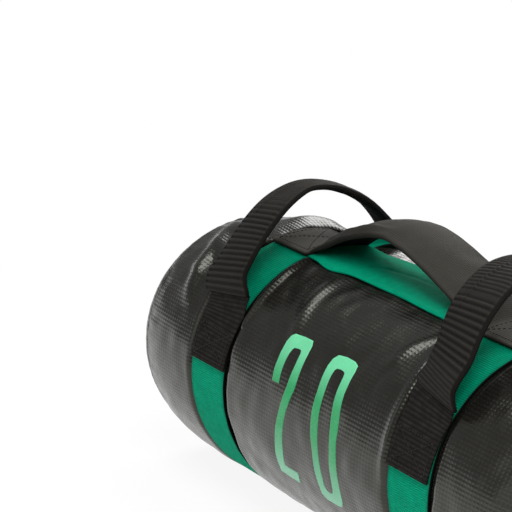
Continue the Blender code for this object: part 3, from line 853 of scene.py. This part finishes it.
class BuildRingStraps(bpy.types.Operator):
    """Weaves the two green straps that go round the bag"""

    bl_idname = "sandbag.ring_straps"
    bl_label = "Ring Straps"

    def execute(self, context):
        width = sizes().strap_width
        section = band_section(width, WEBBING)
        length = TURN * STRAP_RADIUS
        ribs = round(length / sizes().webbing_rib)
        angles = turns(ribs * 4)
        places = angles * STRAP_RADIUS
        rows = ribbed(section, places, width, length / ribs, 0.14 * MM)
        # Painted shade: the strap's edge walls are coloured near black, as the shadow in the groove beside the
        # skin.
        edge = 1 - smooth_step(np.abs(section[:, 0]), width / 2 - 1.2 * MM, width / 2 - 0.7 * MM)
        for side, way in SIDES:
            middle = way * STRAP_MIDDLE
            drift = 0.35 * MM * rumple(middle, angles, 60 * MM, 21)
            wave = 0.10 * MM * rumple(middle, angles, 34 * MM, 22)
            reach = (STRAP_RADIUS - WEBBING / 2 + rows[..., 1]) * section_reach(angles)[:, None]
            reach = reach + (self.slack(side, angles) - np.abs(wave))[:, None]
            points = round_bag(middle + rows[..., 0] + drift[:, None], reach, angles[:, None])
            name, around = f"ring_strap_webbing_{side}", lengths_along(section, True)
            mesh = woven_mesh(name, points, np.append(places, length), around, wrap_rows=True)
            mark(mesh, "shade", np.tile(edge, len(angles)))
            put_piece(mesh, "green_webbing", [f"ring_strap_{side}"])
        return {"FINISHED"}

    @staticmethod
    def slack(side, angles):
        """How far a strap stands off the bag: the left one is slack behind the centre handle's patch."""
        return (side == "left") * 9 * MM * plateau(np.degrees(from_front(angles)), (16, 30), (38, 56))


class BuildSpineStrap(bpy.types.Operator):
    """Weaves the green strap along the top, with the crease that its back half is folded along"""

    bl_idname = "sandbag.spine_strap"
    bl_label = "Spine Strap"

    def execute(self, context):
        width = sizes().strap_width
        far = STRAP_NEAR - CONTACT
        x = np.linspace(-far, far, round(2 * far / (sizes().webbing_rib / 4)) + 1)
        section = band_section(width, WEBBING, top_points=33)
        rows = ribbed(section, x + far, width, sizes().webbing_rib, 0.14 * MM)
        across, rise = rows[..., 0], rows[..., 1]
        bends = (-far, -60 * MM, -35 * MM, 0, far)
        crease = np.interp(x, bends, (-34 * MM, -20 * MM, -3 * MM, 3 * MM, 6 * MM))
        behind = across - crease[:, None]
        lifted = smooth_step(x, -75 * MM, -30 * MM) * (1 - 0.8 * smooth_step(x, 70 * MM, far))
        groove = 0.45 * MM * bell(behind, 0, 1.3 * MM) * (rise > 0)
        lift = 0.3 * MM * smooth_step(behind, -1 * MM, 7 * MM) - groove
        wave = 0.12 * MM * (1 + rumple(x, 0, 45 * MM, 31))
        low = skin_profile(x) + CONTACT + WEBBING / 2
        drift = 1.5 * MM + 4.2 * MM * bell(x, -72 * MM, 18 * MM) + 2 * MM * smooth_step(x, 10 * MM, 80 * MM)
        angle = (across - drift[:, None]) / (low[:, None] + 1 * MM)
        reach = (low + wave)[:, None] + rise + lift * lifted[:, None]
        points = round_bag(x[:, None], reach, angle)
        mesh = woven_mesh("spine_strap_webbing", points, x + far, lengths_along(section, True), capped=True)
        # Painted shade on the lower half of the strap's edge walls and on its underside.
        mark(mesh, "shade", np.tile(smooth_step(section[:, 1], -0.6 * MM, 0.3 * MM), len(x)))
        put_piece(mesh, "green_webbing", ["spine_strap"])
        return {"FINISHED"}


# Side handles


# How each side handle hangs away from its plain arch, at shares of its length from the front tab:
# mm off the arch, mm along the bag, degrees of twist about its own run and degrees of lean in its own plane
HANG_SHARES = (0, 0.07, 0.11, 0.15, 0.20, 0.26, 0.34, 0.45, 0.55, 0.66, 0.78, 0.90, 1)
HANG = {
    "left": (
        (0, 0, -3.2, -4, 4, 2.8, 1.7, 2.3, -0.5, -0.6, -1.4, -0.9, 0),
        (1.5, 3, 4.7, 4.5, 0.5, 1.2, -1, -4.3, -3.6, -1.4, -0.9, -0.4, 0),
        (0, -3, -8, -5, 5, 10, 11.6, 13.7, 2.9, -8, -7.8, -4.4, 0),
        (0, -2, -1, 8, 10, 7, 2, 0, 0, 0, 0, 0, 0),
    ),
    "right": (
        (0, 0, -1.9, -5, 0, -0.7, 2.7, 6.7, 6.4, 4.1, 2.1, 0.8, 0),
        (-0.5, 1, 1.5, 3, 4.5, 6, 1.7, -2.1, -3.9, -3.2, -2, -0.9, 0),
        (0, 0, -2, 0, 15, 10.9, 9.9, 8.7, 4.6, 1.9, 0.5, 0, 0),
        (0, -1, -2, -8, -8, -5, -1, 0, 0, 0, 0, 0, 0),
    ),
}
# How far a sleeve has slipped sideways at the front end, its fine ribs' pitch as a share of the broad ones'
# pitch, and where the broad ones start, as a share of the way from its end to its top
SLEEVE_SLIP = {"left": -3.5 * MM, "right": 0.0}
FINE_SHARE = {"left": 0.42, "right": 0.68}
BROAD_FROM = {"left": (-0.3, 0.15), "right": (0.12, 0.25)}
GRIP_END = 66
GRIP_EDGE_RADIUS = 1.2 * MM
GRIP_CORNER = 5 * MM
BORE_HALF_WIDTH = 25.3 * MM
BORE_HALF_HEIGHT = 1.4 * MM
BROAD_DEPTH = 0.75 * MM
FINE_DEPTH = 0.9 * MM
HANDLE_WEBBING = 49 * MM
HANDLE_OFFSET = -0.6 * MM
TAB_HEM = 4 * MM
TAB_BOX_WIDTH = 41 * MM
# Where a side handle starts to leave its tabs, and where it only follows its own body
HANDLE_BEND = ((0, 0, 135.5 * MM), (0, 0, 186 * MM))


def arch(degrees):
    """The side handle's middle line over the bag: across it, and up from its axis."""
    turn = np.radians(degrees)
    rise = ARCH_BASE + (ARCH_CROWN - ARCH_BASE) * np.cos(turn) ** ARCH_FULLNESS
    return np.stack([ARCH_SPAN * np.sin(turn), rise], -1)


def handle_line():
    """The side handle's webbing from the front tab's lower end over to the back tab's."""
    angle = np.linspace(TAB_BOTTOM, TAB_TOP, 20)
    front = SEWN_RADIUS * np.stack([-np.sin(angle), np.cos(angle)], -1)
    over = arch(np.concatenate([[-75], np.linspace(-66, 66, 90), [75]]))
    return softened(evenly(np.concatenate([front, over, front[::-1] * (-1, 1)]), 0.5 * MM), 7)


class HandleFrame:
    """A side handle's middle line with the directions that its band is swept in."""

    def __init__(self, side, middle):
        self.middle = middle
        self.line = handle_line()
        self.normals = left_normals(self.line)
        self.places = lengths_along(self.line)
        hang = read_along(self.places / self.places[-1], HANG_SHARES, np.transpose(HANG[side]))
        self.hang = softened(hang, 16) * (MM, MM, math.radians(1), math.radians(1))
        ends = arch([-GRIP_END, GRIP_END])
        self.grip = [int(np.argmin(np.linalg.norm(self.line - end, axis=1))) for end in ends]
        first, last = self.places[self.grip]
        within = plateau(self.places, (first - 14 * MM, first), (last, last + 14 * MM))
        self.rest = SEWN_RADIUS + within * (sizes().grip_thickness / 2 + 1.0 * MM)

    def band(self, at, across, rise):
        """Points of a band at places along it. Near its feet it rests on the ring strap."""
        at, across, rise = np.broadcast_arrays(at, across, rise)
        off, shift, twist, lean = np.moveaxis(read_along(at, self.places, self.hang), -1, 0)
        at = at + across * np.sin(lean)
        normal = read_along(at, self.places, self.normals)
        centre = read_along(at, self.places, self.line) + normal * (off + across * np.sin(twist))[..., None]
        radius = np.linalg.norm(centre, axis=-1)
        pushed = np.maximum(np.interp(at, self.places, self.rest) - radius, 0) / radius
        flat = centre + normal * (rise * np.cos(twist))[..., None] + centre * pushed[..., None]
        x = self.middle + shift + across * np.cos(twist) - rise * np.sin(twist)
        return np.stack([x, flat[..., 0], AXIS_HEIGHT + flat[..., 1]], -1)


class BuildSideHandles(bpy.types.Operator):
    """Makes both side handles: webbing sewn to the ring strap, its ribbed grip sleeve and its stitches"""

    bl_idname = "sandbag.side_handles"
    bl_label = "Side Handles"

    def execute(self, context):
        for side, way in SIDES:
            bodies = ("bag", f"{side}_handle", *HANDLE_BEND)
            handle = HandleFrame(side, way * STRAP_MIDDLE)
            self.weave(side, handle, bodies)
            self.sleeve(side, handle, bodies)
            self.sew(side, handle)
        return {"FINISHED"}

    def weave(self, side, handle, bodies):
        section = band_section(HANDLE_WEBBING, WEBBING)
        rows = ribbed(section, handle.places, HANDLE_WEBBING, sizes().handle_rib, 0.28 * MM, 0.1 * MM)
        points = handle.band(handle.places[:, None], rows[..., 0] + HANDLE_OFFSET, rows[..., 1])
        around = lengths_along(section, True)
        mesh = woven_mesh(f"{side}_handle_webbing", points, handle.places, around, capped=True)
        # Painted shade: the webbing's underside and lower edges are darker.
        shade = 0.2 + 0.8 * smooth_step(section[:, 1], -0.5 * MM, 0.7 * MM)
        mark(mesh, "shade", np.tile(shade, len(handle.places)))
        parts = "tab_front tab_back flex_front flex_back loop".split()
        nodes = [f"{side}_handle_{part}" for part in parts]
        put_piece(mesh, "black_webbing", nodes, blend=bodies)

    def sleeve(self, side, handle, bodies):
        first, last = handle.grip
        width, thickness = sizes().grip_width, sizes().grip_thickness
        places = handle.places[first : last + 1] - handle.places[first]
        total = places[-1]
        share = places / total
        from_end = np.minimum(places, total - places)
        broad, fine = self.ribs(side, places, 2 * from_end / total)
        ribs = broad * BROAD_DEPTH + fine * FINE_DEPTH * FINE_SHARE[side]
        slip = SLEEVE_SLIP[side] * (1 - smooth_step(places, 0, 45 * MM))
        draw_in = GRIP_CORNER * (1 - np.sqrt(1 - np.clip(1 - from_end / GRIP_CORNER, 0, 1) ** 2))
        half = (width / 2 - draw_in - GRIP_EDGE_RADIUS)[:, None]
        flattened = 1 - 0.5 * np.clip(1 - from_end / (1.5 * MM), 0, 1)
        thick = ((thickness / 2 - GRIP_EDGE_RADIUS) * flattened)[:, None]
        core, bend = self.outline()
        crown = 1 - 0.75 * core[:, 0] ** 4
        across = core[:, 0] * half + GRIP_EDGE_RADIUS * bend[:, 0]
        rise = core[:, 1] * thick * crown + GRIP_EDGE_RADIUS * bend[:, 1]
        crease_line = np.interp(share, (0.26, 0.48), (-15 * MM, -2 * MM))[:, None]
        crease = 0.9 * MM * bell(across, crease_line, 1.5 * MM) * (bend[:, 1] > 0.5)
        shown = bend[:, 1] * (1 - smooth_step(np.abs(across), 24 * MM, 27.5 * MM))
        rise = rise + shown**3 * ribs[:, None] + crease * plateau(share, (0.24, 0.33), (0.44, 0.56))[:, None]
        outer = handle.band(handle.places[first : last + 1, None], across + slip[:, None], rise)
        back = np.linspace(total, 0, 70)
        bore = core[:, 0] * BORE_HALF_WIDTH + np.interp(back, places, slip)[:, None] * 0.3
        inner = handle.band(back[:, None] + handle.places[first], bore, core[:, 1] * BORE_HALF_HEIGHT)
        row_places = np.concatenate([places, back, places[:1]])
        around = lengths_along(np.stack([across[len(across) // 2], rise[len(rise) // 2]], -1), True)
        points = np.concatenate([outer, inner])
        mesh = woven_mesh(f"{side}_handle_grip", points, row_places, around, wrap_rows=True)
        # Painted light and shade: rib crests pale as lit and furrows dark, and the folded edges, underside and
        # bore dark as shade.
        folded = smooth_step(np.abs(across), width / 2 - 2.2 * MM, width / 2 - 1.0 * MM)
        shade = (1 + broad + fine * FINE_SHARE[side])[:, None] * np.clip(bend[:, 1], 0, 1) * (1 - folded)
        mark(mesh, "shade", np.concatenate([shade, np.zeros((len(back), len(core)))]))
        put_piece(mesh, "handle_fabric", [f"{side}_handle_grip_sleeve"], blend=bodies)

    @staticmethod
    def ribs(side, places, reach):
        """The sleeve's broad and fine knitted ribs, each from -1 in a furrow to 0 on a narrow crest."""
        coarse = plateau(reach, BROAD_FROM[side], (0.52, 0.75))
        pitches = (sizes().grip_rib, sizes().grip_rib * FINE_SHARE[side])
        broad, fine = ((0.5 + 0.5 * np.cos(TURN * places / pitch)) ** 1.4 - 1 for pitch in pitches)
        return broad * coarse, fine * (1 - coarse)

    @staticmethod
    def outline():
        """A flat tube's outline with rounded edges: where each edge circle sits, and the place on it."""
        outline = [((1 - 2 * s, 1), 90) for s in np.linspace(0, 1, 49)]
        outline += [((-1, 1), a) for a in (115, 140, 165)] + [((-1, y), 180) for y in (1, 0.3, -0.3, -1)]
        outline += [((-1, -1), a) for a in (195, 220, 245)]
        outline += [((2 * s - 1, -1), 270) for s in np.linspace(0, 1, 17)]
        outline += [((1, -1), a) for a in (295, 320, 345)] + [((1, y), 0) for y in (-1, -0.3, 0.3, 1)]
        outline += [((1, 1), a) for a in (15, 40, 65)]
        turn = np.radians([angle for _, angle in outline])
        return np.array([place for place, _ in outline]), np.stack([np.cos(turn), np.sin(turn)], -1)

    def sew(self, side, handle):
        length = (TAB_BOTTOM - TAB_TOP) * SEWN_RADIUS - 2 * TAB_HEM
        for face, start, way in (("front", 0, 1), ("back", handle.places[-1], -1)):

            def put(along, across, rise, start=start, way=way):
                at = start + way * (TAB_HEM + length / 2 + along)
                return handle.band(at, across + HANDLE_OFFSET, WEBBING / 2 + rise)

            mesh = stitched(f"{side}_tab_thread_{face}", box_and_cross(length, TAB_BOX_WIDTH), put)
            put_piece(mesh, "thread", [f"{side}_handle_stitches_{face}"])


# Centre handle


PATCH_BOX = 42 * MM
# Where the centre handle starts to leave its patches, and where it only follows its own body
CENTRE_BEND = ((0, 0, 187.5 * MM), (0, 0, 205 * MM))


class BuildCentreHandle(bpy.types.Operator):
    """Makes the centre handle: folded fabric sewn over both ring straps, with rolled edges and cut ends"""

    bl_idname = "sandbag.centre_handle"
    bl_label = "Centre Handle"

    def execute(self, context):
        x = np.linspace(-STRAP_FAR, STRAP_FAR, 1200)
        line = softened(evenly(np.stack([x, self.height(x)], -1), 1 * MM), 5)
        places = lengths_along(line)
        share = (line[:, 1, None] - PATCH_RADIUS) / CENTRE_RISE
        free = smooth_step(share, 0.02, 0.35)
        curled = plateau(line[:, 0, None], (-108 * MM, -92 * MM), (-45 * MM, 5 * MM)) * free
        width = sizes().centre_width
        section = band_section(width, CENTRE_THICKNESS, top_points=61)
        across, rise = section.T
        inboard = width / 2 - np.abs(across)
        front, top = across < 0, rise > 0
        edge = 0.5 * MM * bell(inboard, 1.5 * MM, 2.2 * MM) * np.sign(rise)
        curl = 1.1 * MM * bell(inboard, 9.5 * MM, 2 * MM) * top
        curl = curl - 2.2 * MM * smooth_step(9 * MM - inboard, 0, 9 * MM)
        ruck = 0.35 * MM * rumple(places[:, None], across / SKIN_RADIUS, 26 * MM, 51) * top
        rise = rise + edge * free + front * curl * curled + ruck * free
        radius = PATCH_RADIUS + (GUTTER_RADIUS - PATCH_RADIUS) * np.clip(share, 0, 1)
        angle = across / radius
        out = radius + rise
        over = line[:, None] + left_normals(line)[:, None] * (out * np.cos(angle) - radius)[..., None]
        points = np.stack([over[..., 0], out * np.sin(angle), AXIS_HEIGHT + over[..., 1]], -1)
        self.pink(points, places)
        mesh = woven_mesh("centre_handle_strap", points, places, lengths_along(section, True), capped=True)
        # Painted shade on the side walls, underside and rolled front edge, and the free loop painted darker
        # than the lit patches.
        wall_shade = 0.15 + 0.85 * smooth_step(section[:, 1], 0.2 * MM, 1.4 * MM)
        rolled = 0.75 * curled * front * smooth_step(8 * MM - inboard, 0, 4 * MM)
        mark(mesh, "shade", wall_shade * (1 - rolled) * (1 - 0.74 * free))
        parts = "patch_left patch_right flex_left flex_right loop".split()
        nodes = [f"centre_handle_{part}" for part in parts]
        put_piece(mesh, "handle_fabric", nodes, "centre_fabric", ("bag", "centre_handle", *CENTRE_BEND))
        for side, way in SIDES:
            self.sew(side, way)
        return {"FINISHED"}

    def sew(self, side, way):
        top = PATCH_RADIUS + CENTRE_THICKNESS / 2

        def put(along, across, rise):
            return round_bag(way * STRAP_MIDDLE + along, top + rise, across / top)

        mesh = stitched(f"centre_patch_thread_{side}", box_and_cross(PATCH_BOX, PATCH_BOX), put)
        put_piece(mesh, "thread", [f"centre_handle_stitches_{side}"])

    @staticmethod
    def height(x):
        """The handle's middle line. Its peak is off the middle, and its right half is pressed flatter."""
        right = x > CENTRE_PEAK
        span = STRAP_NEAR + np.where(right, -CENTRE_PEAK, CENTRE_PEAK)
        share = np.clip(np.abs(x - CENTRE_PEAK) / span, 0, 1)
        return PATCH_RADIUS + CENTRE_RISE * (1 - share ** (CENTRE_FULLNESS - 0.25 * right))

    @staticmethod
    def pink(points, places):
        """Cuts both ends with a small zigzag."""
        zigzag = np.abs((points[..., 1] / (2.4 * MM)) % 2 - 1) * 0.9 * MM
        near_end = np.clip(1 - np.minimum(places, places[-1] - places) / (3 * MM), 0, 1)[:, None]
        points[..., 0] -= np.sign(points[..., 0]) * zigzag * near_end


# Filling and stage


class DressFilling(bpy.types.Operator):
    """Gives the foam, the sacks' ties and the sand their finishes"""

    bl_idname = "sandbag.filling"
    bl_label = "Filling"

    def execute(self, context):
        # The sacks keep the plain finish that they have in the frame.
        finishes = {"foam": "foam", "sand_fill": "sand", "sack_tie": "nylon_tie"}
        for name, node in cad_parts.items():
            for start, finish in finishes.items():
                if name.startswith(start):
                    node.data.materials.clear()
                    node.data.materials.append(material(finish))
        return {"FINISHED"}


# Each softbox: its place, the height that it is aimed at over the origin, its width and height, and its watts
SOFTBOXES = {
    "softbox_behind": ((-1.2, 1.5, 1.0), 0.12, (1.8, 0.9), 20),
    "softbox_above": ((-0.8, -0.45, 1.95), 0.1, (1.0, 1.0), 16),
    "softbox_right": ((1.3, -0.5, 1.5), 0.1, (0.8, 0.8), 21),
    "softbox_high": ((0.7, 0.9, 1.9), 0.1, (0.9, 0.9), 22),
    "softbox_front": ((-0.6, -2.1, 0.9), 0.1, (1.2, 1.2), 4),
}
ROOM_STRENGTH = 0.25
# The paper's rings, in metres from its middle, and its height under the bag
SWEEP_RINGS = (0.02, 1, 3, 8, 20, 60)
SWEEP_DROP = -0.2 * MM

# The camera that was fitted to the photo's outlines
CAMERA_PLACE = (1.52852553, -0.94681408, 0.69326231)
CAMERA_AZIMUTH = math.radians(61.756)
CAMERA_ELEVATION = math.radians(15.189)
CAMERA_ROLL = -0.0162
FOCAL_LENGTH = 191.6
SENSOR_WIDTH = 36


class BuildStage(bpy.types.Operator):
    """Sets the white paper, the soft lamps and the camera"""

    bl_idname = "sandbag.stage"
    bl_label = "Stage"

    def execute(self, context):
        self.sweep()
        self.world(context)
        for name, (place, aim, (width, height), power) in SOFTBOXES.items():
            light = bpy.data.lights.new(name, "AREA")
            light.shape, light.size, light.size_y, light.energy = "RECTANGLE", width, height, power
            lamp = bpy.data.objects.new(name, light)
            lamp.location = place
            lamp.rotation_euler = (Vector((0, 0, aim)) - Vector(place)).to_track_quat("-Z", "Y").to_euler()
            context.scene.collection.objects.link(lamp)
        self.camera(context)
        return {"FINISHED"}

    def sweep(self):
        """White paper under the bag, laid out flat to a far edge."""
        angles = turns(96)
        reach = np.array(SWEEP_RINGS)[:, None]
        flat = np.broadcast_arrays(reach * np.sin(angles), reach * np.cos(angles), 0.0)
        mesh = woven_mesh("studio_sweep", np.stack(flat, -1), np.arange(len(SWEEP_RINGS)), np.arange(97.0))
        sheet = bpy.data.objects.new("studio_sweep", mesh)
        sheet.location.z = SWEEP_DROP
        bpy.context.scene.collection.objects.link(sheet)
        mesh.materials.append(self.paper())

    def paper(self):
        """Matt white paper: it keeps the object's shadow, and is white to the camera and in reflections."""
        made = Finish("matt_white_paper")
        made.tree.nodes.clear()
        ray = made.add("LightPath").outputs
        seen = made.calculated("MAXIMUM", ray["Is Camera Ray"], ray["Is Glossy Ray"])
        seen = made.calculated("MAXIMUM", seen, ray["Is Transmission Ray"])
        place = made.add("TexCoord").outputs["Object"]
        away = made.add("VectorMath", {0: place}, operation="LENGTH").outputs["Value"]
        share = made.calculated("MULTIPLY", seen, made.ranged(away, 0.25, 0.8, 0.9, 1.0))
        matt = made.add("BsdfDiffuse", {"Color": (0.95, 0.95, 0.95, 1)}).outputs[0]
        glow = made.add("Emission", {"Color": (1, 1, 1, 1), "Strength": 1.0}).outputs[0]
        made.add("OutputMaterial", {0: made.add("MixShader", {0: share, 1: matt, 2: glow}).outputs[0]})
        return made.material

    def world(self, context):
        """A dim room above the paper."""
        world = bpy.data.worlds.new("studio_world")
        context.scene.world = world
        world.use_nodes = True
        room = world.node_tree.nodes["Background"]
        room.inputs["Color"].default_value = (1, 1, 1, 1)
        room.inputs["Strength"].default_value = ROOM_STRENGTH

    def camera(self, context):
        level = Vector((math.cos(CAMERA_AZIMUTH), math.sin(CAMERA_AZIMUTH), 0))
        towards = Vector((math.sin(CAMERA_AZIMUTH), -math.cos(CAMERA_AZIMUTH), 0))
        back = towards * math.cos(CAMERA_ELEVATION) + Vector((0, 0, math.sin(CAMERA_ELEVATION)))
        up = back.cross(level)
        right = level * math.cos(CAMERA_ROLL) + up * math.sin(CAMERA_ROLL)
        up = up * math.cos(CAMERA_ROLL) - level * math.sin(CAMERA_ROLL)
        lens = bpy.data.cameras.new("photo_camera")
        lens.lens, lens.sensor_width = FOCAL_LENGTH, SENSOR_WIDTH
        camera = bpy.data.objects.new("photo_camera", lens)
        axes = Matrix((right, up, back)).transposed().to_4x4()
        camera.matrix_world = Matrix.Translation(CAMERA_PLACE) @ axes
        context.scene.collection.objects.link(camera)
        context.scene.camera = camera


class SandbagPanel(bpy.types.Panel):
    """Lists the bag's pieces in the order in which they are made"""

    bl_label = "Sandbag Trainer"
    bl_idname = "VIEW3D_PT_sandbag"
    bl_space_type = "VIEW_3D"
    bl_region_type = "UI"
    bl_category = "Sandbag"

    def draw(self, context):
        for step in STEPS:
            self.layout.operator(step.bl_idname)
        for group in (sizes(), colours()):
            for name in group.__annotations__:
                self.layout.prop(group, name)


STEPS = (
    BuildSkin,
    BuildEnds,
    PrintNumber,
    BuildRingStraps,
    BuildSpineStrap,
    BuildSideHandles,
    BuildCentreHandle,
    DressFilling,
    BuildStage,
)
CLASSES = (SandbagSizes, SandbagColours, *STEPS, SandbagPanel)


def register():
    for kind in CLASSES:
        bpy.utils.register_class(kind)
    bpy.types.Scene.sandbag_sizes = bpy.props.PointerProperty(type=SandbagSizes)
    bpy.types.Scene.sandbag_colours = bpy.props.PointerProperty(type=SandbagColours)


def unregister():
    del bpy.types.Scene.sandbag_colours
    del bpy.types.Scene.sandbag_sizes
    for kind in reversed(CLASSES):
        bpy.utils.unregister_class(kind)


def main():
    register()
    bpy.context.scene.view_settings.view_transform = "Standard"
    bpy.ops.sandbag.skin()
    bpy.ops.sandbag.ends()
    bpy.ops.sandbag.number()
    bpy.ops.sandbag.ring_straps()
    bpy.ops.sandbag.spine_strap()
    bpy.ops.sandbag.side_handles()
    bpy.ops.sandbag.centre_handle()
    bpy.ops.sandbag.filling()
    bpy.ops.sandbag.stage()


if __name__ == "__main__":
    main()
